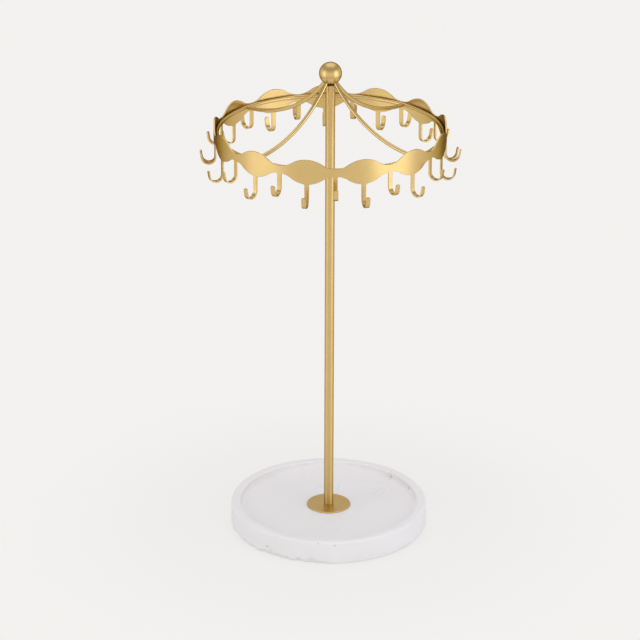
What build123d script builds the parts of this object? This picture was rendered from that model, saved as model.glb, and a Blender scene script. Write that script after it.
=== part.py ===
from build123d import *
from math import asin, atan, cos, degrees, radians, sin, sqrt
import os

# Carousel jewelry stand, millimetres, +Z up, front towards -Y.
# The origin is on the stand's axis, at the level that the pads rest on.

# Stone dish
tray_r = 80.0
tray_h = 19.2
tray_wall = 8.0
tray_recess = 5.0
tray_floor_r = 3.0
tray_rim_r = 2.4
tray_lip_r = 1.6
tray_foot_edge = 1.0
counterbore_r = 12.0
counterbore_depth = 6.0
screw_hole_gap = 0.25

# Pads in shallow seats under the dish
pad_count = 4
pad_r = 6.0
pad_t = 1.6
pad_proud = 0.6
pad_circle_r = 62.0
pad_gap = 0.1
pad_angle = 45.0

# Foot disc, post and its fixing
disc_r = 17.65
disc_t = 1.2
disc_edge = 0.3
post_r = 3.75
post_wall = 1.0
post_len = 361.3
plug_len = 18.0
screw_r = 2.0
screw_len = 25.0
screw_head_r = 4.0
screw_head_h = 2.6
screw_head_edge = 1.0
screw_slot_w = 1.0
screw_slot_len = 4.4
screw_slot_depth = 1.5
washer_r = 7.5
washer_t = 1.2
seat_gap = 0.02

# Pivot between the post and the canopy
bush_flange_r = 3.8
bush_flange_t = 1.0
bush_len = 24.0
spindle_r = 2.0
spindle_drop = 30.0
spindle_seat = 9.0
spindle_tip = 0.4
turning_gap = 0.05

# Ball on top
ball_r = 8.95
ball_rise = 8.4

# Scalloped band: lenses and necks, rolled into a ring
lens_count = 13
lens_angle = 16.44
band_r = 91.4
band_t = 1.2
band_drop = 49.6
lens_h = 19.7
neck_h = 5.8
lens_arc_r = 21.5

# Hoop and ribs of round rod
hoop_wire_r = 1.5
hoop_up = 1.5
weld_gap = 0.02
rib_count = 4
rib_angle = 48.7
rib_wire_r = 1.5

# J hooks of flat strip
hook_w = 3.6
hook_shank = 11.2
hook_bend_r = 5.4
hook_lean_angle = 10.0
hook_tip = 5.2
hook_tip_r = 1.4
hook_root_r = 1.0

# Levels
tray_z = pad_proud
tray_top_z = tray_z + tray_h
tray_floor_z = tray_top_z - tray_recess
counterbore_z = tray_z + counterbore_depth
disc_top_z = tray_floor_z + disc_t
post_top_z = disc_top_z + post_len
ball_seat_z = post_top_z + bush_flange_t
ball_z = ball_seat_z + ball_rise
band_z = ball_z - band_drop
hoop_z = band_z + hoop_up

# Sizes that follow
post_bore_r = post_r - post_wall
screw_hole_r = screw_r + screw_hole_gap
washer_z = counterbore_z - washer_t
band_inner_r = band_r - band_t
strip_r = band_r - band_t / 2
hoop_r = band_inner_r - hoop_wire_r - weld_gap
pitch = 360.0 / lens_count
half_pitch = radians(pitch / 2)

# The band's edge is one arc over a lens, tangent to a hollow arc over a neck
lens_half = lens_h / 2
neck_half = neck_h / 2
neck_x = strip_r * sin(half_pitch)
edge_slope = 2 * atan((lens_half - neck_half) / neck_x)
neck_arc_r = neck_x / sin(edge_slope) - lens_arc_r
blend_x = lens_arc_r * sin(edge_slope)
blend_y = lens_half - lens_arc_r * (1 - cos(edge_slope))

# The ribs lie on an arc that leaves the hoop level and points at the ball's centre
rib_rise = ball_z - hoop_z
rib_arc_r = (hoop_r**2 + rib_rise**2) / (2 * rib_rise)
rib_arc_angle = degrees(asin(hoop_r / rib_arc_r))

# Planes: square to the front lens, and one that holds the axis with x running out to the front
lens_plane = Plane(origin=(0, 0, band_z), x_dir=(1, 0, 0), z_dir=(0, -1, 0))
radial_plane = Plane(origin=(0, 0, 0), x_dir=(0, -1, 0), z_dir=(-1, 0, 0))

# A block that is cut to the lens outline starts inside the band and ends outside it
block_start = band_inner_r * cos(half_pitch) - band_t
block_len = band_r + band_t - block_start


def save(part, label):
    part.label = label
    export_step(part, f"parts/{label}.step")


def j_hook(edge_z, edge_arc_r, bulge):
    """Flat J hook at the front, its root flared into the band's edge and cut to the edge's arc.

    bulge is 1 where the edge bulges down, under a lens, and -1 where it is hollow, under a neck.
    """
    edge_arc_z = edge_z + bulge * edge_arc_r
    bend_z = edge_z - hook_shank
    cove_x = hook_w / 2 + hook_root_r
    cove_reach = edge_arc_r + bulge * hook_root_r
    cove_z = edge_arc_z - bulge * sqrt(cove_reach**2 - cove_x**2)
    root_x = cove_x * edge_arc_r / cove_reach
    with BuildPart() as hook:
        with BuildLine(radial_plane) as centre_line:
            shank = Line((strip_r, band_z), (strip_r, bend_z))
            bend = CenterArc((strip_r + hook_bend_r, bend_z), hook_bend_r, 180, 180 - hook_lean_angle)
            tip = Line(bend @ 1, bend @ 1 + (bend % 1) * hook_tip)
        with BuildSketch(Plane(origin=shank @ 0, x_dir=(1, 0, 0), z_dir=(0, 0, -1))):
            Rectangle(hook_w, band_t)
        sweep(path=centre_line.wires()[0])
        tip_end = hook.faces().sort_by_distance(tip @ 1)[0]
        fillet(tip_end.edges().sort_by(SortBy.LENGTH)[:2], radius=hook_tip_r)
        with BuildSketch(lens_plane.offset(band_inner_r)):
            with Locations((0, (cove_z - band_z) / 2)):
                Rectangle(2 * root_x, band_z - cove_z)
            with Locations((-cove_x, cove_z - band_z), (cove_x, cove_z - band_z)):
                Circle(hook_root_r, mode=Mode.SUBTRACT)
        extrude(amount=band_t)
        with BuildSketch(lens_plane):
            with Locations((0, edge_arc_z - band_z)):
                Circle(edge_arc_r)
        extrude(amount=2 * band_r, mode=Mode.SUBTRACT if bulge > 0 else Mode.INTERSECT)
    return hook.part


os.makedirs("parts", exist_ok=True)

# Round pads of soft rubber, glued into the seats under the dish
pad_spots = PolarLocations(pad_circle_r, pad_count, start_angle=pad_angle)
for number, spot in enumerate(pad_spots, start=1):
    with BuildPart() as foot_pad:
        with Locations(spot):
            Cylinder(pad_r, pad_t, align=(Align.CENTER, Align.CENTER, Align.MIN))
    save(foot_pad.part, f"foot_pad_{number}")

# Dish turned from white stone: recess with a rounded corner, soft rim, screw hole and pad seats
with BuildPart() as tray:
    with BuildSketch(Plane.XY.offset(tray_z)):
        Circle(tray_r)
    extrude(amount=tray_h)
    with BuildSketch(Plane.XY.offset(tray_floor_z)):
        Circle(tray_r - tray_wall)
    extrude(amount=tray_recess, mode=Mode.SUBTRACT)
    levels = tray.edges().filter_by(GeomType.CIRCLE).group_by(Axis.Z)
    lip_edge, rim_edge = levels[-1].sort_by(SortBy.RADIUS)
    fillet(rim_edge, radius=tray_rim_r)
    fillet(lip_edge, radius=tray_lip_r)
    fillet(levels[1], radius=tray_floor_r)
    chamfer(levels[0], length=tray_foot_edge)
    with BuildSketch(Plane.XY.offset(tray_z)):
        Circle(counterbore_r)
    extrude(amount=counterbore_depth, mode=Mode.SUBTRACT)
    with BuildSketch(Plane.XY.offset(tray_z)):
        Circle(screw_hole_r)
    extrude(amount=tray_h, mode=Mode.SUBTRACT)
    with BuildSketch(Plane.XY.offset(tray_z)):
        with PolarLocations(pad_circle_r, pad_count, start_angle=pad_angle):
            Circle(pad_r + pad_gap)
    extrude(amount=pad_t - pad_proud, mode=Mode.SUBTRACT)
save(tray.part, "tray")

# Thin metal disc that spreads the post's load on the dish
with BuildPart() as foot_disc:
    with BuildSketch(Plane.XY.offset(tray_floor_z)):
        Circle(disc_r)
        Circle(screw_hole_r, mode=Mode.SUBTRACT)
    extrude(amount=disc_t)
    top_edges = foot_disc.edges().filter_by(GeomType.CIRCLE).group_by(Axis.Z)[-1]
    chamfer(top_edges.sort_by(SortBy.RADIUS)[-1], length=disc_edge)
save(foot_disc.part, "foot_disc")

# Metal tube that stands on the disc
with BuildPart() as post:
    with BuildSketch(Plane.XY.offset(disc_top_z)):
        Circle(post_r)
        Circle(post_bore_r, mode=Mode.SUBTRACT)
    extrude(amount=post_len)
save(post.part, "post")

# Threaded plug pressed into the lower end of the tube
with BuildPart() as post_plug:
    with BuildSketch(Plane.XY.offset(disc_top_z)):
        Circle(post_bore_r - seat_gap)
        Circle(screw_r + seat_gap, mode=Mode.SUBTRACT)
    extrude(amount=plug_len)
save(post_plug.part, "post_plug")

# Wide washer under the dish
with BuildPart() as base_washer:
    with BuildSketch(Plane.XY.offset(washer_z)):
        Circle(washer_r)
        Circle(screw_hole_r, mode=Mode.SUBTRACT)
    extrude(amount=washer_t)
save(base_washer.part, "base_washer")

# Pan-head screw that pulls dish, disc and post together
with BuildPart() as base_screw:
    with BuildSketch(Plane.XY.offset(washer_z)):
        Circle(screw_r)
    extrude(amount=screw_len)
    with BuildSketch(Plane.XY.offset(washer_z)):
        Circle(screw_head_r)
    extrude(amount=-screw_head_h)
    head_rim = base_screw.edges().filter_by(GeomType.CIRCLE).group_by(Axis.Z)[0]
    chamfer(head_rim, length=screw_head_edge)
    with BuildSketch(Plane.XY.offset(washer_z - screw_head_h)):
        Rectangle(screw_slot_len, screw_slot_w)
        Rectangle(screw_slot_w, screw_slot_len)
    extrude(amount=screw_slot_depth, mode=Mode.SUBTRACT)
save(base_screw.part, "base_screw")

# Plastic bush: its flange shows as the dark line under the ball
with BuildPart() as pivot_bush:
    with BuildSketch(Plane.XY.offset(post_top_z)):
        Circle(bush_flange_r)
    extrude(amount=bush_flange_t)
    with BuildSketch(Plane.XY.offset(post_top_z)):
        Circle(post_bore_r - seat_gap)
    extrude(amount=-bush_len)
    with BuildSketch(Plane.XY.offset(ball_seat_z)):
        Circle(spindle_r + turning_gap)
    extrude(amount=-(bush_len + bush_flange_t), mode=Mode.SUBTRACT)
save(pivot_bush.part, "pivot_bush")

# Steel pin that is fixed in the ball and turns in the bush
with BuildPart() as spindle:
    with BuildSketch(Plane.XY.offset(ball_seat_z - spindle_drop)):
        Circle(spindle_r)
    extrude(amount=spindle_drop + spindle_seat)
    chamfer(spindle.edges().group_by(Axis.Z)[0], length=spindle_tip)
save(spindle.part, "spindle")

# Turned ball with a flat that runs on the bush's flange, and a blind bore for the spindle
with BuildPart() as finial_ball:
    with Locations((0, 0, ball_z)):
        Sphere(ball_r)
    with BuildSketch(Plane.XY.offset(ball_seat_z)):
        Circle(ball_r)
    extrude(amount=-ball_r, mode=Mode.SUBTRACT)
    with BuildSketch(Plane.XY.offset(ball_seat_z)):
        Circle(spindle_r + seat_gap)
    extrude(amount=spindle_seat, mode=Mode.SUBTRACT)
save(finial_ball.part, "finial_ball")

# Round wire hoop inside the band
with BuildPart() as hoop:
    with Locations((0, 0, hoop_z)):
        Torus(hoop_r, hoop_wire_r)
save(hoop.part, "hoop")

# One bent rod from the ball to the hoop, coped to both; the hoop is nearly straight where they meet
with BuildPart() as rib_rod:
    with BuildLine(radial_plane):
        rib_line = CenterArc((hoop_r, hoop_z + rib_arc_r), rib_arc_r, 270 - rib_arc_angle, rib_arc_angle)
    with BuildSketch(Plane(origin=rib_line @ 1, z_dir=rib_line % 1)):
        Circle(rib_wire_r)
    sweep(path=rib_line)
    with Locations((0, 0, ball_z)):
        Sphere(ball_r, mode=Mode.SUBTRACT)
    with Locations((0, -hoop_r, hoop_z)):
        Cylinder(hoop_wire_r + weld_gap, 4 * rib_wire_r, rotation=(0, 90, 0), mode=Mode.SUBTRACT)

for number in range(rib_count):
    with BuildPart() as rib:
        add(rib_rod.part, rotation=(0, 0, rib_angle + number * 360 / rib_count))
    save(rib.part, f"rib_{number + 1}")

# Block with the outline of one lens between the middles of two necks
with BuildPart() as lens_block:
    with BuildSketch(lens_plane.offset(block_start)):
        with BuildLine():
            crown_arc = TangentArc((0, lens_half), (blend_x, blend_y), tangent=(1, 0))
            neck_arc = TangentArc(crown_arc @ 1, (neck_x, neck_half), tangent=crown_arc % 1)
            Polyline(neck_arc @ 1, (neck_x + band_t, neck_half), (neck_x + band_t, 0))
            mirror(about=Plane.YZ)
            mirror(about=Plane.XZ)
        make_face()
    extrude(amount=block_len)

# One lens of the band: that block shared with a length of ring wall
with BuildPart() as lens_piece:
    with BuildSketch(radial_plane):
        with Locations((strip_r, band_z)):
            Rectangle(band_t, lens_h)
    revolve(axis=Axis.Z, revolution_arc=pitch)
    add(lens_block.part, rotation=(0, 0, pitch / 2), mode=Mode.INTERSECT)

with BuildPart() as scallop_band:
    for number in range(lens_count):
        add(lens_piece.part, rotation=(0, 0, lens_angle + (number - 0.5) * pitch))
save(scallop_band.part, "scallop_band")

# The neck's arc looks wider from a hook under the neck, because it was cut square to the lenses
neck_view_r = neck_arc_r / cos(half_pitch) ** 2
lens_hook_blank = j_hook(band_z - lens_half, lens_arc_r, 1)
neck_hook_blank = j_hook(band_z - neck_half - weld_gap, neck_view_r, -1)

for number in range(lens_count):
    turn = lens_angle + number * pitch
    with BuildPart() as lens_hook:
        add(lens_hook_blank, rotation=(0, 0, turn))
    save(lens_hook.part, f"lens_hook_{number + 1:02d}")
    with BuildPart() as neck_hook:
        add(neck_hook_blank, rotation=(0, 0, turn + pitch / 2))
    save(neck_hook.part, f"neck_hook_{number + 1:02d}")
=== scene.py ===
from math import atan, atan2, cos, hypot, pi, radians, sin, sqrt, tan

import bmesh
import bpy
from mathutils import Matrix, Vector, noise


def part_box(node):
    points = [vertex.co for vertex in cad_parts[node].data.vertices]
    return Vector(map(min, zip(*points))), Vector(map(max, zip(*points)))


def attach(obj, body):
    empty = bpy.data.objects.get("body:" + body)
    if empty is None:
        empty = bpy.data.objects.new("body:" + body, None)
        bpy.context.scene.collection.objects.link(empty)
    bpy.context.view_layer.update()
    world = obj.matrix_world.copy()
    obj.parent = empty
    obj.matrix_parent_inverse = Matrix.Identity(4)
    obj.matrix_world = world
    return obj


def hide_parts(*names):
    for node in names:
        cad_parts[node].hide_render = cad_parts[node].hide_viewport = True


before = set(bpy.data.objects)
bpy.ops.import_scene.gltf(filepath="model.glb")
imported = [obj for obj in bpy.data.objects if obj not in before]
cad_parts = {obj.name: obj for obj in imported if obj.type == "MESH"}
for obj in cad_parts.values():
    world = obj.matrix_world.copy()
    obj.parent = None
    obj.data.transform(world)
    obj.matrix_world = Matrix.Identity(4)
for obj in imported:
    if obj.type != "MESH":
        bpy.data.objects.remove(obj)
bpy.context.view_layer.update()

mm = 0.001


# Studio. The photograph is taken from the front, a little above, with a long lens, on a pale
# seamless ground. Two cool soft lamps stand beside the canopy, a wide one hangs over the back,
# and weak ones fill from above and from the front.
photo_px = 640
photo_focal_px = 3152.454
camera_away = 2530.1 * mm
camera_elevation = radians(22.68)
camera_roll = radians(0.253)
aim_level = 178.23 * mm
aim_px = (329.417, 320.637)
ground_colour = (0.898, 0.884, 0.868)
ground_mottle = 0.005
ground_turns = 96
sweep_steps = 10


def add_node(tree, kind, inputs=None, **settings):
    """Adds a node; inputs maps a socket's name or number to a value or to the socket that feeds it."""
    made = tree.nodes.new(kind)
    for key, value in settings.items():
        setattr(made, key, value)
    for key, value in (inputs or {}).items():
        if isinstance(value, bpy.types.NodeSocket):
            tree.links.new(value, made.inputs[key])
        else:
            made.inputs[key].default_value = value
    return made


def make_camera():
    """The photograph's camera: far away, a little above, turned and rolled to the photo's frame."""
    data = bpy.data.cameras.new("camera")
    data.lens = photo_focal_px * data.sensor_width / photo_px
    data.clip_start, data.clip_end = 0.1, 50
    camera = bpy.data.objects.new("camera", data)
    bpy.context.scene.collection.objects.link(camera)
    back = Vector((0, -cos(camera_elevation), sin(camera_elevation)))
    camera.location = Vector((0, 0, aim_level)) + back * camera_away
    turn_left = Matrix.Rotation(atan((aim_px[0] - photo_px / 2) / photo_focal_px), 3, "Y")
    turn_up = Matrix.Rotation(atan((aim_px[1] - photo_px / 2) / photo_focal_px), 3, "X")
    facing = (-back).to_track_quat("-Z", "Y").to_matrix()
    roll = Matrix.Rotation(camera_roll, 3, "Z")
    camera.rotation_euler = (facing @ turn_left @ turn_up @ roll).to_euler()
    bpy.context.scene.camera = camera


def piece_from(name, bm, material, crease=35):
    """Turns a bmesh into a piece: outward normals, smooth shading with crisp creases."""
    bmesh.ops.remove_doubles(bm, verts=bm.verts, dist=0.001 * mm)
    bmesh.ops.recalc_face_normals(bm, faces=bm.faces)
    mesh = bpy.data.meshes.new(name)
    bm.to_mesh(mesh)
    bm.free()
    mesh.shade_smooth()
    mesh.set_sharp_from_angle(angle=radians(crease))
    mesh.materials.clear()
    mesh.materials.append(material)
    piece = bpy.data.objects.new(name, mesh)
    bpy.context.scene.collection.objects.link(piece)
    return piece


def lathe(outline, turns, closed=True):
    """Spins (r, z) points round the stand's axis; an open outline starts and ends on the axis."""
    bm = bmesh.new()
    rings = []
    for r, z in outline:
        if abs(r) < 1e-7:
            rings.append([bm.verts.new((0, 0, z))])
            continue
        angles = [2 * pi * k / turns for k in range(turns)]
        rings.append([bm.verts.new((r * cos(a), r * sin(a), z)) for a in angles])
    pairs = list(zip(rings, rings[1:]))
    if closed:
        pairs.append((rings[-1], rings[0]))
    for low, high in pairs:
        for k in range(turns):
            corners = [low[k % len(low)], low[(k + 1) % turns % len(low)],
                       high[(k + 1) % turns % len(high)], high[k % len(high)]]
            bm.faces.new(list(dict.fromkeys(corners)))
    return bm


def make_ground(floor_r, sweep_r, wall_z, paleness, near, far):
    """A round seamless backdrop. Its own pale tone is seen whole beyond far and lets the object's
    shadow through by paleness within near."""
    material = bpy.data.materials.new("pale_ground")
    material.use_nodes = True
    tree = material.node_tree
    shader = tree.nodes["Principled BSDF"]
    place = add_node(tree, "ShaderNodeTexCoord").outputs["Object"]
    grain = add_node(tree, "ShaderNodeTexNoise", {"Vector": place, "Scale": 3.0, "Detail": 3.0})
    tone = add_node(tree, "ShaderNodeMix", {0: grain.outputs["Fac"]}, data_type="RGBA")
    tone.inputs[6].default_value = (*[c * (1 - ground_mottle) for c in ground_colour], 1)
    tone.inputs[7].default_value = (*[c * (1 + ground_mottle) for c in ground_colour], 1)
    tree.links.new(tone.outputs[2], shader.inputs["Base Color"])
    shader.inputs["Roughness"].default_value = 0.9
    shader.inputs["Specular IOR Level"].default_value = 0.0
    path = add_node(tree, "ShaderNodeLightPath").outputs
    straight = add_node(tree, "ShaderNodeMath", {0: path["Is Camera Ray"], 1: path["Is Glossy Ray"]},
                        operation="ADD").outputs[0]
    seen = add_node(tree, "ShaderNodeMath", {0: straight, 1: path["Is Transmission Ray"]},
                    operation="ADD", use_clamp=True).outputs[0]
    away = add_node(tree, "ShaderNodeVectorMath", {0: place}, operation="LENGTH").outputs["Value"]
    level = add_node(tree, "ShaderNodeMapRange", {0: away, 1: near, 2: far, 3: paleness, 4: 1.0},
                     interpolation_type="SMOOTHSTEP").outputs[0]
    share = add_node(tree, "ShaderNodeMath", {0: seen, 1: level}, operation="MULTIPLY").outputs[0]
    pale = add_node(tree, "ShaderNodeEmission", {"Color": tone.outputs[2], "Strength": 1.0})
    mix = add_node(tree, "ShaderNodeMixShader", {0: share})
    tree.links.new(shader.outputs[0], mix.inputs[1])
    tree.links.new(pale.outputs[0], mix.inputs[2])
    tree.links.new(mix.outputs[0], tree.nodes["Material Output"].inputs["Surface"])
    angles = [radians(90 * k / sweep_steps) for k in range(sweep_steps + 1)]
    sweep = [(floor_r + sweep_r * sin(a), sweep_r * (1 - cos(a))) for a in angles]
    outline = [(0, 0), *sweep, (floor_r + sweep_r, wall_z)]
    piece_from("ground", lathe(outline, ground_turns, closed=False), material)


def soft_lamp(name, place, target, size, radiance, colour=(1, 1, 1)):
    """A rectangular area lamp of the given size and radiance, aimed at target."""
    data = bpy.data.lights.new(name, "AREA")
    data.shape = "RECTANGLE"
    data.size, data.size_y = size
    data.energy = radiance * pi * size[0] * size[1]
    data.color = colour
    lamp = bpy.data.objects.new(name, data)
    bpy.context.scene.collection.objects.link(lamp)
    lamp.location = place
    lamp.rotation_euler = (Vector(target) - lamp.location).to_track_quat("-Z", "Y").to_euler()
    lamp.visible_camera = False
    return lamp


def make_world(strength):
    """An even white light from all round."""
    world = bpy.data.worlds.new("studio")
    bpy.context.scene.world = world
    world.use_nodes = True
    world.node_tree.nodes["Background"].inputs["Color"].default_value = (1, 1, 1, 1)
    world.node_tree.nodes["Background"].inputs["Strength"].default_value = strength


make_camera()
make_ground(floor_r=9.0, sweep_r=3.0, wall_z=5.0, paleness=0.70, near=0.09, far=0.27)
stand_middle = (0, 0, 0.22)
cool_white = (0.83, 0.92, 1.0)
soft_lamp("left_lamp", (-0.76, -0.36, 0.45), (0, -0.05, 0.45), (0.56, 0.84), 0.78, cool_white)
soft_lamp("right_lamp", (0.72, -0.42, 0.43), (0, -0.05, 0.43), (0.60, 0.86), 1.15, cool_white)
soft_lamp("front_lamp", (0, -2.9, 1.5), stand_middle, (2.6, 2.0), 0.20)
soft_lamp("back_lamp", (0, 1.12, 2.52), stand_middle, (2.8, 3.25), 0.64)
soft_lamp("dome_lamp", (0, 0, 2.4), stand_middle, (3.6, 3.6), 0.20).visible_glossy = False
for x, radiance in ((-1.5, 1.08), (1.5, 0.80)):
    fill = soft_lamp("fill_lamp", (x, -1.65, 0.70), (0, 0, 0.1), (2.2, 1.1), radiance)
    fill.visible_glossy = False
make_world(strength=0.48)
bpy.context.scene.view_settings.view_transform = "Standard"


# Dish. A round tray of cast white stone with a shallow recess, ground smooth by hand, with
# soft edges, faint grey veins and a few pores. Everything else stands on it.
dish_low, dish_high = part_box("tray")
dish_r = dish_high.x
dish_wall = 8 * mm
dish_recess_r = dish_r - dish_wall
dish_recess_depth = 5 * mm
dish_floor_z = dish_high.z - dish_recess_depth
dish_rim_round = 2.4 * mm
dish_lip_round = 1.6 * mm
dish_floor_round = 3 * mm
dish_foot_round = 1.2 * mm
counterbore_r = 12 * mm
counterbore_depth = 6 * mm
counterbore_z = dish_low.z + counterbore_depth
counterbore_round = 0.3 * mm
counterbore_edge = 0.4 * mm
screw_hole_r = 2.25 * mm
screw_hole_edges = (0.2 * mm, 0.3 * mm)
dish_ring_gap = 3.5 * mm
dish_foot_ring_gap = 0.45 * mm
dish_turns = 360
dish_wobble = 0.16 * mm
dish_wobble_start_r = 21 * mm
dish_wobble_fade = 6 * mm
dish_chip_height = 4.3 * mm
dish_chip_lean = radians(30)
dish_chip_seed = Vector((0.99, 2.34, 0.5))
dish_chip_least = 0.15
dish_chip_spread = 1.6
dish_chip_ragged = 0.18
stone_white, stone_bright = (0.850, 0.820, 0.832), (0.910, 0.878, 0.890)
vein_grey, pore_grey = (0.46, 0.45, 0.47), (0.30, 0.29, 0.30)
vein_shift = (-0.94, -0.07, 0.89)
# Larger flecks: x, y, z and size in mm
stone_flecks = [
    (66.7, 27.1, 16.6, 1.5), (52.5, 49.2, 16.1, 1.4), (5.3, -79.8, 16.5, 0.9), (-8.3, -79.6, 18.1, 1.0),
    (-25.1, -75.9, 1.8, 1.0), (-46.2, -65.3, 5.3, 1.0), (-49.4, -62.9, 7.7, 1.3),
]


def rounded(corners, steps=8, hold=0.15):
    """Closed outline through (x, y, radius) corners; hold sets the extra point beside each round."""
    points = []
    for i, (x, y, radius) in enumerate(corners):
        corner = Vector((x, y))
        if not radius:
            points.append(corner)
            continue
        before = (Vector(corners[i - 1][:2]) - corner).normalized()
        after = (Vector(corners[(i + 1) % len(corners)][:2]) - corner).normalized()
        half = before.angle(after) / 2
        reach = radius / tan(half)
        centre = corner + (before + after).normalized() * (radius / sin(half))
        first = corner + before * reach - centre
        turn = first.angle_signed(corner + after * reach - centre)
        points.append(corner + before * (reach + radius * hold))
        for k in range(steps + 1):
            points.append(centre + Matrix.Rotation(-turn * k / steps, 2) @ first)
        points.append(corner + after * (reach + radius * hold))
    return points


def spaced(points, most):
    """The same closed outline with no two points further apart than most."""
    result = []
    for i, point in enumerate(points):
        following = points[(i + 1) % len(points)]
        parts = max(1, round((following - point).length / most))
        result += [point.lerp(following, k / parts) for k in range(parts)]
    return result


def new_material(name, **values):
    """A Principled material with its constant sockets set; returns it, its tree, shader and place."""
    material = bpy.data.materials.new(name)
    material.use_nodes = True
    tree = material.node_tree
    shader = tree.nodes["Principled BSDF"]
    for key, value in values.items():
        shader.inputs[key.replace("_", " ")].default_value = value
    place = add_node(tree, "ShaderNodeTexCoord").outputs["Object"]
    return material, tree, shader, place


def noise_field(tree, place, scale, detail=2.0, rough=0.5, twist=0.0):
    """A noise from 0 to 1 at place, scale features to the metre."""
    return add_node(tree, "ShaderNodeTexNoise", {
        "Vector": place, "Scale": scale, "Detail": detail, "Roughness": rough, "Distortion": twist,
    }).outputs["Fac"]


def remap(tree, value, low, high, to_low=0.0, to_high=1.0):
    """Takes low..high to to_low..to_high and holds it there beyond."""
    return add_node(tree, "ShaderNodeMapRange", {
        0: value, 1: low, 2: high, 3: to_low, 4: to_high,
    }).outputs[0]


def calc(tree, operation, *values):
    return add_node(tree, "ShaderNodeMath", dict(enumerate(values)), operation=operation).outputs[0]


def blend_colours(tree, factor, first, second):
    """Mixes two colours, each given as numbers or as a socket."""
    colours = {6: first, 7: second}
    for key, colour in colours.items():
        if not isinstance(colour, bpy.types.NodeSocket):
            colours[key] = (*colour, 1)
    return add_node(tree, "ShaderNodeMix", {0: factor, **colours}, data_type="RGBA").outputs[2]


def add_bump(tree, shader, layers):
    """Chains bump nodes: each layer is (height, strength, depth in metres)."""
    normal = None
    for height, strength, depth in layers:
        inputs = {"Height": height, "Strength": strength, "Distance": depth}
        if normal:
            inputs["Normal"] = normal
        normal = add_node(tree, "ShaderNodeBump", inputs).outputs[0]
    tree.links.new(normal, shader.inputs["Normal"])


def white_stone():
    """Honed stone: a cloudy body, thin veins in places, fine pores and a few larger flecks."""
    material, tree, shader, place = new_material(
        "white_stone", Specular_IOR_Level=0.35, Subsurface_Weight=0.15, Subsurface_Scale=3 * mm,
        Subsurface_Radius=(1.0, 0.95, 0.9))
    cloud = noise_field(tree, place, 22, 4, 0.55, 0.4)
    body = blend_colours(tree, cloud, stone_white, stone_bright)
    shifted = add_node(tree, "ShaderNodeMapping", {"Vector": place, "Location": vein_shift}).outputs[0]
    drift = noise_field(tree, shifted, 15, 5, 0.55, 1.1)
    ridge = calc(tree, "ABSOLUTE", calc(tree, "SUBTRACT", drift, 0.5))
    line = remap(tree, ridge, 0.0, 0.012, 1.0, 0.0)
    where = remap(tree, noise_field(tree, shifted, 9, 2), 0.56, 0.66)
    vein = calc(tree, "MULTIPLY", line, where)
    veined = blend_colours(tree, calc(tree, "MULTIPLY", vein, 0.26), body, vein_grey)
    cells = add_node(tree, "ShaderNodeTexVoronoi", {"Vector": place, "Scale": 190.0})
    hole = remap(tree, cells.outputs["Distance"], 0.07, 0.13, 1.0, 0.0)
    chosen = remap(tree, noise_field(tree, cells.outputs["Position"], 57, 1), 0.67, 0.69)
    pore = calc(tree, "MULTIPLY", hole, chosen)
    ragged = remap(tree, noise_field(tree, place, 900, 3, 0.6), 0.3, 0.7, -0.7 * mm, 0.7 * mm)
    for x, y, z, size in stone_flecks:
        away = add_node(tree, "ShaderNodeVectorMath", {0: place, 1: (x * mm, y * mm, z * mm)},
                        operation="DISTANCE").outputs["Value"]
        fleck = remap(tree, calc(tree, "ADD", away, ragged), 0.4 * size * mm, size * mm, 0.8, 0.0)
        pore = calc(tree, "MAXIMUM", pore, fleck)
    colour = blend_colours(tree, calc(tree, "MULTIPLY", pore, 0.55), veined, pore_grey)
    tree.links.new(colour, shader.inputs["Base Color"])
    tree.links.new(remap(tree, cloud, 0.3, 0.7, 0.44, 0.60), shader.inputs["Roughness"])
    add_bump(tree, shader, [
        (noise_field(tree, place, 1400, 3, 0.6), 0.35, 0.02 * mm),
        (noise_field(tree, place, 120, 3), 0.25, 0.12 * mm),
        (calc(tree, "MULTIPLY", pore, -1.0), 0.8, 0.3 * mm),
        (calc(tree, "MULTIPLY", vein, -1.0), 0.3, 0.05 * mm),
    ])
    return material


def two_noises(place, coarse, fine):
    """A coarse noise and half as much of a fine one."""
    return noise.noise(place * coarse) + 0.5 * noise.noise(place * fine)


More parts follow.
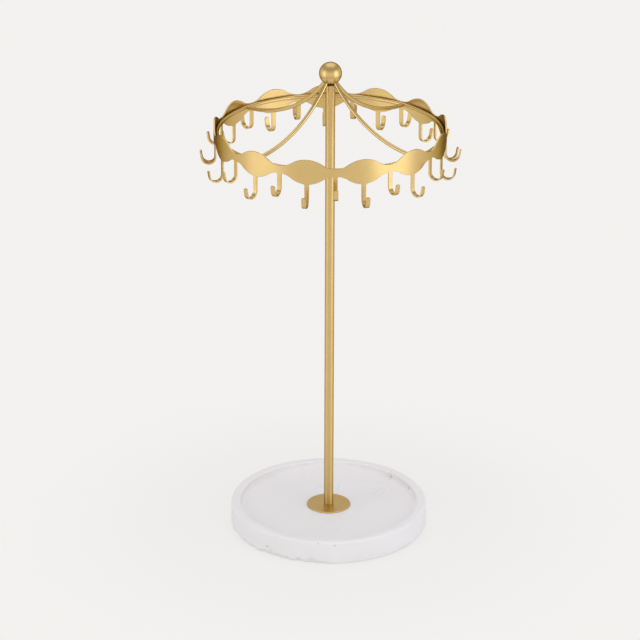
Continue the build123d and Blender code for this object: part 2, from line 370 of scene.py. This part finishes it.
def make_dish(material):
    """The turned dish, a little uneven outside, its foot's edge chipped along a leaning plane."""
    close_under = [(dish_r - dish_foot_ring_gap * k, dish_low.z, 0) for k in range(8, 3, -1)]
    close_beside = [(dish_r, dish_low.z + dish_foot_ring_gap * k, 0) for k in range(4, 13)]
    outline = rounded([
        (screw_hole_r, counterbore_z, screw_hole_edges[0]),
        (counterbore_r, counterbore_z, counterbore_round),
        (counterbore_r, dish_low.z, counterbore_edge),
        *close_under, (dish_r, dish_low.z, dish_foot_round), *close_beside,
        (dish_r, dish_high.z, dish_rim_round),
        (dish_recess_r, dish_high.z, dish_lip_round),
        (dish_recess_r, dish_floor_z, dish_floor_round),
        (screw_hole_r, dish_floor_z, screw_hole_edges[1]),
    ])
    bm = lathe(spaced(outline, dish_ring_gap), dish_turns)
    bmesh.ops.recalc_face_normals(bm, faces=bm.faces)
    bm.normal_update()
    moves = []
    for v in bm.verts:
        r = hypot(v.co.x, v.co.y)
        height = v.co.z - dish_low.z
        uneven = 0.75 + 0.5 * two_noises(v.co, 38, 95)
        outside = min(1, max(0, (r - dish_wobble_start_r) / dish_wobble_fade))
        above = min(1, max(0, height / (2 * mm)))
        move = v.normal * (-dish_wobble * outside * above * uneven)
        outwards = Vector((v.co.x, v.co.y, 0)) / r
        foot = outwards * dish_r + dish_chip_seed
        broken = dish_chip_least + dish_chip_spread * two_noises(foot, 52, 160)
        broken = min(1, max(0, broken)) * (1 + dish_chip_ragged * noise.noise(v.co * 260))
        beyond = (dish_chip_height * broken - height) * sin(dish_chip_lean)
        beyond -= (dish_r - r) * cos(dish_chip_lean)
        if beyond > 0:
            move += Vector((0, 0, sin(dish_chip_lean))) * beyond
            move -= outwards * cos(dish_chip_lean) * beyond
        moves.append(move)
    for v, move in zip(bm.verts, moves):
        v.co += move
    return piece_from("stone_dish", bm, material)


white_stone_material = white_stone()
dish = make_dish(white_stone_material)
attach(dish, "base")
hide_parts("tray")


# Pads. Four round pads of soft black rubber, punched from sheet and glued into shallow
# seats under the dish, so that the stone doesn't slip or scratch the table.
pad_nodes = [f"foot_pad_{k}" for k in range(1, 5)]
pad_low, pad_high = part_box(pad_nodes[0])
pad_r = (pad_high.x - pad_low.x) / 2
pad_circle_r = hypot(pad_low.x + pad_high.x, pad_low.y + pad_high.y) / 2
pad_first = atan2(pad_low.y + pad_high.y, pad_low.x + pad_high.x)
pad_edge = 0.35 * mm
pad_turns = 48


def geometry_tree(name, sockets):
    """An empty Geometry Nodes tree with named inputs; sockets maps a name to its socket type."""
    tree = bpy.data.node_groups.new(name, "GeometryNodeTree")
    tree.interface.new_socket("Geometry", in_out="INPUT", socket_type="NodeSocketGeometry")
    tree.interface.new_socket("Geometry", in_out="OUTPUT", socket_type="NodeSocketGeometry")
    for socket, kind in sockets.items():
        tree.interface.new_socket(socket, in_out="INPUT", socket_type="NodeSocket" + kind)
    return tree, tree.nodes.new("NodeGroupInput").outputs


def finish_tree(tree, geometry, material):
    """Ends a tree in Realize Instances and Set Material."""
    whole = add_node(tree, "GeometryNodeRealizeInstances", {0: geometry}).outputs[0]
    dressed = add_node(tree, "GeometryNodeSetMaterial", {0: whole, "Material": material}).outputs[0]
    add_node(tree, "NodeGroupOutput", {0: dressed})


def copies_about_axis(tree, instance, count, first, step):
    """Instances turned about the stand's axis: first, first + step and so on."""
    spots = add_node(tree, "GeometryNodePoints", {"Count": count}).outputs[0]
    index = add_node(tree, "GeometryNodeInputIndex").outputs[0]
    turn = calc(tree, "MULTIPLY_ADD", index, step, first)
    spin = add_node(tree, "ShaderNodeCombineXYZ", {2: turn}).outputs[0]
    return add_node(tree, "GeometryNodeInstanceOnPoints", {
        "Points": spots, "Instance": instance, "Rotation": spin,
    }).outputs[0]


def piece_from_tree(name, tree, values, material, crease=35):
    """Runs a tree on an empty mesh and turns what it gives into one plain mesh piece."""
    carrier = bpy.data.objects.new(name + "_tree", bpy.data.meshes.new(name + "_tree"))
    bpy.context.scene.collection.objects.link(carrier)
    modifier = carrier.modifiers.new("tree", "NODES")
    modifier.node_group = tree
    for item in tree.interface.items_tree:
        if item.in_out == "INPUT" and item.name in values:
            modifier[item.identifier] = values[item.name]
    depsgraph = bpy.context.evaluated_depsgraph_get()
    mesh = bpy.data.meshes.new_from_object(carrier.evaluated_get(depsgraph), depsgraph=depsgraph)
    bm = bmesh.new()
    bm.from_mesh(mesh)
    piece = piece_from(name, bm, material, crease)
    bpy.data.objects.remove(carrier)
    bpy.data.meshes.remove(mesh)
    return piece


def copier_tree(name):
    """A tree that sets copies of one template round the stand."""
    tree, given = geometry_tree(name, {
        "Template": "Object", "Copies": "Int", "First angle": "Float", "Step": "Float",
        "Finish": "Material",
    })
    template = add_node(tree, "GeometryNodeObjectInfo", {"Object": given["Template"]})
    copies = copies_about_axis(tree, template.outputs["Geometry"], given["Copies"],
                               given["First angle"], given["Step"])
    finish_tree(tree, copies, given["Finish"])
    return tree


def set_round(name, tree, template, count, first, material):
    """One piece that holds count copies of the template, evenly spaced round the stand."""
    piece = piece_from_tree(name, tree, {
        "Template": template, "Copies": count, "First angle": first, "Step": 2 * pi / count,
        "Finish": material,
    }, material)
    bpy.data.objects.remove(template)
    return piece


def black_rubber():
    """Soft rubber, dull and a little dusty."""
    material, tree, shader, place = new_material("black_rubber", Specular_IOR_Level=0.3)
    dust = noise_field(tree, place, 300, 4, 0.6)
    tree.links.new(blend_colours(tree, dust, (0.018, 0.018, 0.019), (0.05, 0.05, 0.052)),
                   shader.inputs["Base Color"])
    tree.links.new(remap(tree, dust, 0.3, 0.7, 0.75, 0.9), shader.inputs["Roughness"])
    add_bump(tree, shader, [(noise_field(tree, place, 2500, 2), 0.4, 0.03 * mm)])
    return material


def make_pads(material):
    middle = lathe(rounded([(0, pad_low.z, 0), (pad_r, pad_low.z, pad_edge),
                            (pad_r, pad_high.z, pad_edge), (0, pad_high.z, 0)]),
                   pad_turns, closed=False)
    bmesh.ops.translate(middle, verts=middle.verts, vec=(pad_circle_r, 0, 0))
    template = piece_from("pad_template", middle, material)
    return set_round("foot_pads", copier_tree("pads_round_the_dish"), template, len(pad_nodes),
                     pad_first, material)


pads = make_pads(black_rubber())
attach(pads, "base")
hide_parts(*pad_nodes)


# Foot disc. A thin round of brass sheet, blanked, deburred and plated in satin gold like
# all the metal of the stand. The screw clamps it between the post and the stone.
disc_low, disc_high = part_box("foot_disc")
disc_edge = 0.3 * mm
disc_turns = 160
gold_light = (0.775, 0.560, 0.250)
gold_deep = (0.695, 0.478, 0.177)
gold_worn_and_highlight = (0.880, 0.690, 0.390)
gold_rim = (0.06, 0.035, 0.01, 1)
gold_rim_flat = (0.42, 0.41, 0.48, 1)


def satin_gold(name, streak=(1.0, 1.0, 1.0), grain=2600.0, rough=(0.27, 0.34), rim=gold_rim,
               turned=0.0):
    """Satin gold plating. streak squeezes the grain's axes, so that it runs one way, and turned
    draws reflections out along the axis, as fine marks round a piece do."""
    material, tree, shader, place = new_material(
        name, Metallic=1.0, Specular_Tint=rim, Anisotropic=turned,
        Anisotropic_Rotation=0.25 if turned else 0.0)
    cloud = noise_field(tree, place, 45, 3, 0.5, 0.3)
    plated = blend_colours(tree, cloud, gold_deep, gold_light)
    # Paler gold in patches on the cut edges: partly rubbed wear, partly a painted edge highlight.
    edge = add_node(tree, "ShaderNodeAttribute", attribute_name="edge").outputs["Fac"]
    rubbed_and_highlit = calc(tree, "MULTIPLY", edge, remap(tree, noise_field(tree, place, 380, 2), 0.4, 0.6))
    colour = blend_colours(tree, calc(tree, "MULTIPLY", rubbed_and_highlit, 0.55), plated, gold_worn_and_highlight)
    tree.links.new(colour, shader.inputs["Base Color"])
    along = add_node(tree, "ShaderNodeMapping", {"Vector": place, "Scale": streak}).outputs[0]
    fine = noise_field(tree, along, grain, 3, 0.6)
    smear = noise_field(tree, place, 130, 3, 0.6, 0.5)
    uneven = calc(tree, "MULTIPLY_ADD", fine, 0.5, calc(tree, "MULTIPLY", smear, 0.5))
    tree.links.new(remap(tree, uneven, 0.35, 0.65, *rough), shader.inputs["Roughness"])
    add_bump(tree, shader, [(fine, 0.22, 0.012 * mm), (smear, 0.06, 0.04 * mm)])
    return material


def make_foot_disc(material):
    outline = rounded([
        (screw_hole_r, disc_low.z, 0), (disc_high.x, disc_low.z, disc_edge / 2),
        (disc_high.x, disc_high.z, disc_edge), (screw_hole_r, disc_high.z, 0),
    ])
    return piece_from("gold_foot_disc", lathe(outline, disc_turns), material)


foot_disc = make_foot_disc(satin_gold("satin_gold_disc", rim=gold_rim_flat))
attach(foot_disc, "base")
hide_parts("foot_disc")


# Post. A straight drawn tube, cut square, polished as it turns, so that fine marks run round
# it, and plated. A threaded plug is pressed in its foot for the screw, and the pivot's bush is
# pressed in its top.
post_low, post_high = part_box("post")
post_wall = 1 * mm
post_cut_edge = 0.15 * mm
post_ring_gap = 12 * mm
post_turns = 96


def make_post(material):
    outline = rounded([
        (post_high.x - post_wall, post_low.z, 0), (post_high.x, post_low.z, post_cut_edge),
        (post_high.x, post_high.z, post_cut_edge), (post_high.x - post_wall, post_high.z, 0),
    ], steps=4)
    return piece_from("gold_post", lathe(spaced(outline, post_ring_gap), post_turns), material)


post = make_post(satin_gold("satin_gold_post", streak=(0.05, 0.05, 1.0), grain=3600.0,
                             rough=(0.31, 0.37), turned=0.9))
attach(post, "base")
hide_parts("post")


# Fixings. A zinc-plated pan-head screw and wide washer draw the dish, the disc and the
# plugged post together from below. The plug is turned steel, and so is the ball's spindle.
fixing_nodes = {"base_screw": 0.30, "base_washer": 0.38, "post_plug": 0.42, "spindle": 0.24}


def zinc_steel(name, roughness):
    """Bright zinc on steel, with a faint spangle and turning marks."""
    material, tree, shader, place = new_material(name, Metallic=1.0)
    spangle = noise_field(tree, place, 600, 4, 0.6)
    tree.links.new(blend_colours(tree, spangle, (0.52, 0.53, 0.55), (0.68, 0.69, 0.70)),
                   shader.inputs["Base Color"])
    tree.links.new(remap(tree, spangle, 0.3, 0.7, roughness - 0.05, roughness + 0.08),
                   shader.inputs["Roughness"])
    across = add_node(tree, "ShaderNodeMapping", {"Vector": place, "Scale": (0.1, 0.1, 1.0)})
    add_bump(tree, shader, [(noise_field(tree, across.outputs[0], 5000, 2), 0.2, 0.01 * mm)])
    return material


for node_name, roughness in fixing_nodes.items():
    node_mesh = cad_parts[node_name].data
    node_mesh.materials.clear()
    node_mesh.materials.append(zinc_steel("zinc_" + node_name, roughness))


# Pivot bush. A flanged sleeve of black nylon pressed in the top of the post. The ball
# turns on its flange, which shows as a thin dark line under the ball.
bush_low, bush_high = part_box("pivot_bush")
bush_bore_r = 2.05 * mm
bush_gap = 0.02 * mm
bush_sleeve_r = post_high.x - post_wall - bush_gap
bush_lead_in = 0.3 * mm
bush_flange_edge = 0.2 * mm
bush_small_edge = 0.12 * mm
bush_turns = 72


def black_nylon():
    """Moulded nylon with a fine matte grain."""
    material, tree, shader, place = new_material("black_nylon", Specular_IOR_Level=0.4)
    flow = noise_field(tree, place, 220, 3)
    tree.links.new(blend_colours(tree, flow, (0.012, 0.011, 0.010), (0.026, 0.024, 0.022)),
                   shader.inputs["Base Color"])
    tree.links.new(remap(tree, flow, 0.3, 0.7, 0.42, 0.58), shader.inputs["Roughness"])
    add_bump(tree, shader, [(noise_field(tree, place, 3000, 2), 0.25, 0.01 * mm)])
    return material


def make_bush(material):
    outline = rounded([
        (bush_bore_r, bush_low.z, 0), (bush_sleeve_r, bush_low.z, bush_lead_in),
        (bush_sleeve_r, post_high.z, 0), (bush_high.x, post_high.z, bush_small_edge),
        (bush_high.x, bush_high.z, bush_flange_edge), (bush_bore_r, bush_high.z, bush_small_edge),
    ], steps=4)
    return piece_from("nylon_bush", lathe(outline, bush_turns), material)


bush = make_bush(black_nylon())
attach(bush, "base")
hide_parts("pivot_bush")


# Finial ball. Turned from bar with a flat and a blind bore underneath, polished and plated.
# It is fixed on the steel spindle, and the four ribs are brazed into its underside.
ball_low, ball_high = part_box("finial_ball")
ball_r = (ball_high.x - ball_low.x) / 2
ball_z = ball_high.z - ball_r
spindle_bore_r = 2.02 * mm
spindle_bore_depth = 9 * mm
ball_rings, ball_turns = 72, 144


def make_ball(material):
    """The ball's outline from its top to the flat, then up the blind bore."""
    flat_angle = atan2(sqrt(ball_r**2 - (ball_z - ball_low.z) ** 2), ball_z - ball_low.z)
    outline = [Vector((0, ball_high.z))]
    for k in range(1, ball_rings + 1):
        angle = pi - (pi - flat_angle) * k / ball_rings
        outline.append(Vector((ball_r * sin(angle), ball_z - ball_r * cos(angle))))
    bore_top = ball_low.z + spindle_bore_depth
    outline += [Vector((spindle_bore_r, ball_low.z)), Vector((spindle_bore_r, bore_top)),
                Vector((0, bore_top))]
    return piece_from("gold_ball", lathe(outline, ball_turns, closed=False), material)


ball = make_ball(satin_gold("satin_gold_ball", grain=3000.0, rough=(0.29, 0.36)))
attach(ball, "canopy")
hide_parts("finial_ball")


# Ribs. Four round rods bent to one arc each. They leave the hoop level, curve up and are
# coped and brazed to the ball, so that the canopy sags like a tent.
rib_nodes = [f"rib_{k}" for k in range(1, 5)]
hoop_low, hoop_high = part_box("hoop")
wire_r = (hoop_high.z - hoop_low.z) / 2
hoop_z = hoop_high.z - wire_r
hoop_r = hoop_high.x - wire_r
rib_first = radians(48.7)
rib_sink = 0.5 * mm
rib_points, rod_sides = 97, 32


def rod_tree():
    """Arcs of round rod, set round the stand. Each arc leaves the hoop level and rises inwards."""
    tree, given = geometry_tree("bent_rods", {
        "Arc radius": "Float", "Arc sweep": "Float", "Arc start": "Float", "Low point": "Vector",
        "Rod radius": "Float", "Copies": "Int", "First angle": "Float", "Step": "Float",
        "Finish": "Material",
    })
    arc = add_node(tree, "GeometryNodeCurveArc", {
        "Resolution": rib_points, "Radius": given["Arc radius"], "Start Angle": given["Arc start"],
        "Sweep Angle": given["Arc sweep"],
    }).outputs["Curve"]
    upright = add_node(tree, "GeometryNodeTransform", {
        "Geometry": arc, "Translation": given["Low point"], "Rotation": (pi / 2, 0, -pi / 2),
    }).outputs[0]
    section = add_node(tree, "GeometryNodeCurvePrimitiveCircle", {
        "Resolution": rod_sides, "Radius": given["Rod radius"],
    }).outputs["Curve"]
    rod = add_node(tree, "GeometryNodeCurveToMesh", {
        "Curve": upright, "Profile Curve": section, "Fill Caps": True,
    }).outputs[0]
    finish_tree(tree, copies_about_axis(tree, rod, given["Copies"], given["First angle"],
                                        given["Step"]), given["Finish"])
    return tree


def make_ribs(material):
    """Each rod's arc is level at the hoop, aims at the ball's middle and sinks a little into both."""
    rise = ball_z - hoop_z
    arc_r = (hoop_r**2 + rise**2) / (2 * rise)
    whole = atan2(hoop_r, arc_r - rise)
    start = (wire_r - rib_sink) / arc_r
    end = whole - (ball_r - rib_sink) / arc_r
    return piece_from_tree("gold_ribs", rod_tree(), {
        "Arc radius": arc_r, "Arc start": -pi / 2 - end, "Arc sweep": end - start,
        "Low point": Vector((0, -hoop_r, hoop_z + arc_r)), "Rod radius": wire_r,
        "Copies": len(rib_nodes), "First angle": rib_first, "Step": 2 * pi / len(rib_nodes),
        "Finish": material,
    }, material, crease=60)


rod_gold = satin_gold("satin_gold_rod", grain=2400.0, rough=(0.14, 0.20))
ribs = make_ribs(rod_gold)
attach(ribs, "canopy")
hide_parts(*rib_nodes)


# Hoop. The same round rod rolled into a ring and butt-welded. It keeps the thin band round
# and carries the ribs' ends.
hoop_points = 288


def make_hoop(material):
    tree, given = geometry_tree("rolled_hoop", {
        "Hoop radius": "Float", "Rod radius": "Float", "Level": "Float", "Finish": "Material",
    })
    ring = add_node(tree, "GeometryNodeCurvePrimitiveCircle", {
        "Resolution": hoop_points, "Radius": given["Hoop radius"],
    }).outputs["Curve"]
    section = add_node(tree, "GeometryNodeCurvePrimitiveCircle", {
        "Resolution": rod_sides, "Radius": given["Rod radius"],
    }).outputs["Curve"]
    rod = add_node(tree, "GeometryNodeCurveToMesh", {"Curve": ring, "Profile Curve": section})
    lift = add_node(tree, "ShaderNodeCombineXYZ", {2: given["Level"]}).outputs[0]
    placed = add_node(tree, "GeometryNodeTransform", {
        "Geometry": rod.outputs[0], "Translation": lift,
    }).outputs[0]
    finish_tree(tree, placed, given["Finish"])
    return piece_from_tree("gold_hoop", tree, {
        "Hoop radius": hoop_r, "Rod radius": wire_r, "Level": hoop_z, "Finish": material,
    }, material, crease=60)


hoop = make_hoop(rod_gold)
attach(hoop, "canopy")
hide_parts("hoop")


# Scalloped band. One strip of sheet cut to thirteen lens shapes joined by narrow necks,
# rolled into a ring and welded round the hoop. Its cut edges are lightly tumbled.
band_low, band_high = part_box("scallop_band")
lens_count = 13
lens_first = radians(16.44)
band_r = 91.4 * mm
band_t = 1.2 * mm
band_z = (band_low.z + band_high.z) / 2
lens_half = (band_high.z - band_low.z) / 2
neck_half = 2.9 * mm
lens_arc_r = 21.5 * mm
sheet_edge = 0.22 * mm
lens_columns = 56
strip_r = band_r - band_t / 2
half_pitch = pi / lens_count
neck_x = strip_r * sin(half_pitch)
edge_slope = 2 * atan((lens_half - neck_half) / neck_x)
neck_arc_r = neck_x / sin(edge_slope) - lens_arc_r
blend_x = lens_arc_r * sin(edge_slope)


def sheet_section(width, thickness, gap=6 * mm):
    """Rounded-off section of strip as (across, through) points, with an edge mark for each."""
    w, t = width / 2, thickness / 2
    points = spaced(rounded([(-w, -t, sheet_edge), (w, -t, sheet_edge), (w, t, sheet_edge),
                             (-w, t, sheet_edge)], steps=4, hold=0.35), gap)
    marks = [abs(a) > w - sheet_edge * 0.95 or abs(b) < t - sheet_edge * 0.05 for a, b in points]
    return points, [float(mark) for mark in marks]


def section_object(points, marks):
    """A closed curve with the section's points, for a tree to sweep. Marks ride as its radius."""
    curve = bpy.data.curves.new("section", "CURVE")
    curve.dimensions = "3D"
    spline = curve.splines.new("POLY")
    spline.points.add(len(points) - 1)
    for spot, (a, b), mark in zip(spline.points, points, marks):
        spot.co = (a, b, 0, 1)
        spot.radius = mark
    spline.use_cyclic_u = True
    section = bpy.data.objects.new("section", curve)
    bpy.context.scene.collection.objects.link(section)
    return section


def captured(tree, geometry, value, name, kind="VECTOR"):
    """Stores a value on the geometry's points and returns the geometry and the stored value."""
    made = tree.nodes.new("GeometryNodeCaptureAttribute")
    made.capture_items.new(kind, name)
    tree.links.new(geometry, made.inputs["Geometry"])
    tree.links.new(value, made.inputs[name])
    return made.outputs["Geometry"], made.outputs[name]


def scalloped_tree():
    """Sweeps the neck's section round a ring, then moves its halves apart by the scallop rule."""
    tree, given = geometry_tree("scalloped_ring", {
        "Section": "Object", "Points round": "Int", "Strip radius": "Float", "Level": "Float",
        "Pitch": "Float", "First lens": "Float", "Lens half height": "Float",
        "Neck half height": "Float", "Lens arc": "Float", "Neck arc": "Float",
        "Blend": "Float", "Neck place": "Float", "Rounding": "Float", "Finish": "Material",
    })

    def c(operation, *values):
        return calc(tree, operation, *values)

    where = add_node(tree, "GeometryNodeInputPosition").outputs[0]
    ring = add_node(tree, "GeometryNodeCurvePrimitiveCircle", {
        "Resolution": given["Points round"], "Radius": given["Strip radius"],
    }).outputs["Curve"]
    ring, ring_spot = captured(tree, ring, where, "ring spot")
    info = add_node(tree, "GeometryNodeObjectInfo", {"Object": given["Section"]})
    section, spot = captured(tree, info.outputs["Geometry"], where, "section spot")
    mark = add_node(tree, "GeometryNodeInputRadius").outputs[0]
    section, mark = captured(tree, section, mark, "edge mark", "FLOAT")
    strip = add_node(tree, "GeometryNodeCurveToMesh", {
        "Curve": ring, "Profile Curve": section, "Scale": 1.0,
    }).outputs[0]
    axis = add_node(tree, "ShaderNodeSeparateXYZ", {0: ring_spot}).outputs
    local = add_node(tree, "ShaderNodeSeparateXYZ", {0: spot}).outputs
    angle = c("ARCTAN2", axis[1], axis[0])
    lenses = c("DIVIDE", angle, given["Pitch"])
    offset = c("MULTIPLY", c("SUBTRACT", lenses, c("ROUND", lenses)), given["Pitch"])
    radius = c("ADD", given["Strip radius"], local[1])
    x = c("ABSOLUTE", c("MULTIPLY", radius, c("SINE", offset)))
    lens_rise = c("SQRT", c("SUBTRACT", c("POWER", given["Lens arc"], 2.0), c("POWER", x, 2.0)))
    lens_edge = c("ADD", c("SUBTRACT", given["Lens half height"], given["Lens arc"]), lens_rise)
    from_neck = c("MAXIMUM", c("SUBTRACT", given["Neck place"], x), 0.0)
    neck_drop = c("SQRT", c("SUBTRACT", c("POWER", given["Neck arc"], 2.0),
                            c("POWER", from_neck, 2.0)))
    neck_edge = c("SUBTRACT", c("ADD", given["Neck half height"], given["Neck arc"]), neck_drop)
    on_neck = c("GREATER_THAN", x, given["Blend"])
    half = c("ADD", c("MULTIPLY", on_neck, neck_edge),
             c("MULTIPLY", c("SUBTRACT", 1.0, on_neck), lens_edge))
    spread = c("SUBTRACT", half, given["Neck half height"])
    inner = c("SUBTRACT", given["Neck half height"], given["Rounding"])
    share = c("MINIMUM", c("MAXIMUM", c("DIVIDE", local[0], inner), -1.0), 1.0)
    height = c("ADD", given["Level"], c("ADD", local[0], c("MULTIPLY", spread, share)))
    turned = c("ADD", angle, given["First lens"])
    place = add_node(tree, "ShaderNodeCombineXYZ", {
        0: c("MULTIPLY", radius, c("COSINE", turned)),
        1: c("MULTIPLY", radius, c("SINE", turned)),
        2: height,
    }).outputs[0]
    shaped = add_node(tree, "GeometryNodeSetPosition", {"Geometry": strip, "Position": place})
    marked = add_node(tree, "GeometryNodeStoreNamedAttribute", {
        "Geometry": shaped.outputs[0], "Name": "edge", "Value": mark,
    }, data_type="FLOAT", domain="POINT")
    finish_tree(tree, marked.outputs[0], given["Finish"])
    return tree


def make_band(material):
    """The strip, its outline the same two arcs as the rule in edge_height."""
    section = section_object(*sheet_section(2 * neck_half, band_t))
    piece = piece_from_tree("gold_scalloped_band", scalloped_tree(), {
        "Section": section, "Points round": lens_count * lens_columns, "Strip radius": strip_r,
        "Level": band_z, "Pitch": 2 * half_pitch, "First lens": lens_first - pi / 2,
        "Lens half height": lens_half, "Neck half height": neck_half, "Lens arc": lens_arc_r,
        "Neck arc": neck_arc_r, "Blend": blend_x, "Neck place": neck_x, "Rounding": sheet_edge,
        "Finish": material,
    }, material)
    bpy.data.objects.remove(section)
    return piece


sheet_gold = satin_gold("satin_gold_sheet")
band = make_band(sheet_gold)
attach(band, "canopy")
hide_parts("scallop_band")


# Hooks. Twenty-six fingers of the same sheet, cut with the band, one under each lens and
# one under each neck. Each flares into the band's edge and is bent outwards to a J.
hook_w = 3.6 * mm
hook_shank = 11.2 * mm
hook_bend_r = 5.4 * mm
hook_lean = radians(10)
hook_tip = 5.2 * mm
hook_tip_round = 1.4 * mm
hook_root_round = 1.0 * mm
hook_overlap = 0.6 * mm
hook_proud = 0.003 * mm
hook_point_gap = 0.5 * mm
hook_bend_steps, hook_round_steps = 36, 10
hook_tip_thin = 0.6


def edge_height(x):
    """Half height of the band at x from a lens's middle, on the outline's two arcs."""
    if abs(x) <= blend_x:
        return lens_half - lens_arc_r + sqrt(lens_arc_r**2 - x**2)
    away = max(neck_x - abs(x), 0)
    return neck_half + neck_arc_r - sqrt(neck_arc_r**2 - away**2)


def neck_edge_height(x):
    """The same seen square to a neck, half a pitch round from the lens's middle."""
    return edge_height(neck_x - abs(x) * cos(half_pitch))


def hook_rows(root_z):
    """Rows down the hook's centre line: (distance, radius, level, direction down the hook)."""
    bend_z = root_z - hook_shank
    sweep = pi - hook_lean
    rows = []
    cove = [hook_root_round * 1.5 * k / hook_round_steps for k in range(hook_round_steps + 1)]
    for s in [*cove, hook_shank / 2]:
        rows.append((s, strip_r, root_z - s, Vector((0, 0, -1))))
    for k in range(hook_bend_steps + 1):
        a = sweep * k / hook_bend_steps
        rows.append((hook_shank + hook_bend_r * a, strip_r + hook_bend_r * (1 - cos(a)),
                     bend_z - hook_bend_r * sin(a), Vector((0, -sin(a), -cos(a)))))
    distance, radius, level, down = rows[-1]
    straight = hook_tip - hook_tip_round
    quarters = [pi / 2 * k / hook_round_steps for k in range(hook_round_steps + 1)]
    for s in [straight / 2, *[straight + hook_tip_round * sin(a) for a in quarters]]:
        rows.append((distance + s, radius - down.y * s, level + down.z * s, down))
    return rows


def hook_width(s, length):
    """Half the hook's width at a distance down it: flared root, straight strip, rounded tip."""
    half = hook_w / 2
    if s < hook_root_round:
        half += hook_root_round - sqrt(hook_root_round**2 - (hook_root_round - s) ** 2)
    left = length - s
    if left < hook_tip_round:
        half -= hook_tip_round - sqrt(max(0, hook_tip_round**2 - (hook_tip_round - left) ** 2))
    return half


def make_hook(height_at, material):
    """One hook at the front, its root row laid along the band's edge and just inside it."""
    points, marks = sheet_section(hook_w, band_t, gap=hook_point_gap)
    inner = hook_w / 2 - sheet_edge
    rows = hook_rows(band_z - height_at(0))
    length = rows[-1][0]
    bm = bmesh.new()
    edge_layer = bm.verts.layers.float.new("edge")
    loops = []
    for number, (s, radius, level, down) in enumerate([rows[0]] + rows):
        spread = hook_width(s, length) - hook_w / 2
        fade = max(0, 1 - s / (3 * hook_root_round))
        out = Vector((0, -1, 0)) if down.y == 0 else Vector((0, down.z, -down.y))
        eased = sqrt(max(0, 1 - max(0, 1 - (length - s) / sheet_edge) ** 2))
        thin = hook_tip_thin + (1 - hook_tip_thin) * eased
        loop = []
        for (a, b), mark in zip(points, marks):
            across = a + spread * max(-1, min(1, a / inner))
            lift = (height_at(0) - height_at(across)) * fade
            if number == 0:
                lift += hook_overlap
            sunk = number == 0 or (number == 1 and abs(a) > 0.75 * inner)
            proud = -hook_proud if sunk else hook_proud
            through = b * thin + (proud if b > 0 else -proud)
            bow = fade * across**2 / (2 * strip_r)
            place = Vector((across, bow - radius, level + lift)) + out * through
            vert = bm.verts.new(place)
            vert[edge_layer] = mark
            loop.append(vert)
        loops.append(loop)
    for low, high in zip(loops, loops[1:]):
        for k in range(len(low)):
            n = (k + 1) % len(low)
            bm.faces.new((low[k], low[n], high[n], high[k]))
    # The end faces are marked as cut edge, so they take the same paler gold: partly rubbed wear, partly
    # a painted edge highlight.
    for loop in (loops[0], loops[-1]):
        middle = bm.verts.new(sum((vert.co for vert in loop), Vector()) / len(loop))
        middle[edge_layer] = 1.0
        for k, vert in enumerate(loop):
            bm.faces.new((middle, vert, loop[(k + 1) % len(loop)]))
    return piece_from("hook_template", bm, material)


hook_tree = copier_tree("hooks_round_the_band")
hook_sets = {
    "lens": (edge_height, lens_first),
    "neck": (neck_edge_height, lens_first + half_pitch),
}
for kind, (height_at, first) in hook_sets.items():
    template = make_hook(height_at, sheet_gold)
    hooks = set_round(f"gold_{kind}_hooks", hook_tree, template, lens_count, first, sheet_gold)
    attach(hooks, "canopy")
    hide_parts(*[f"{kind}_hook_{k:02d}" for k in range(1, lens_count + 1)])
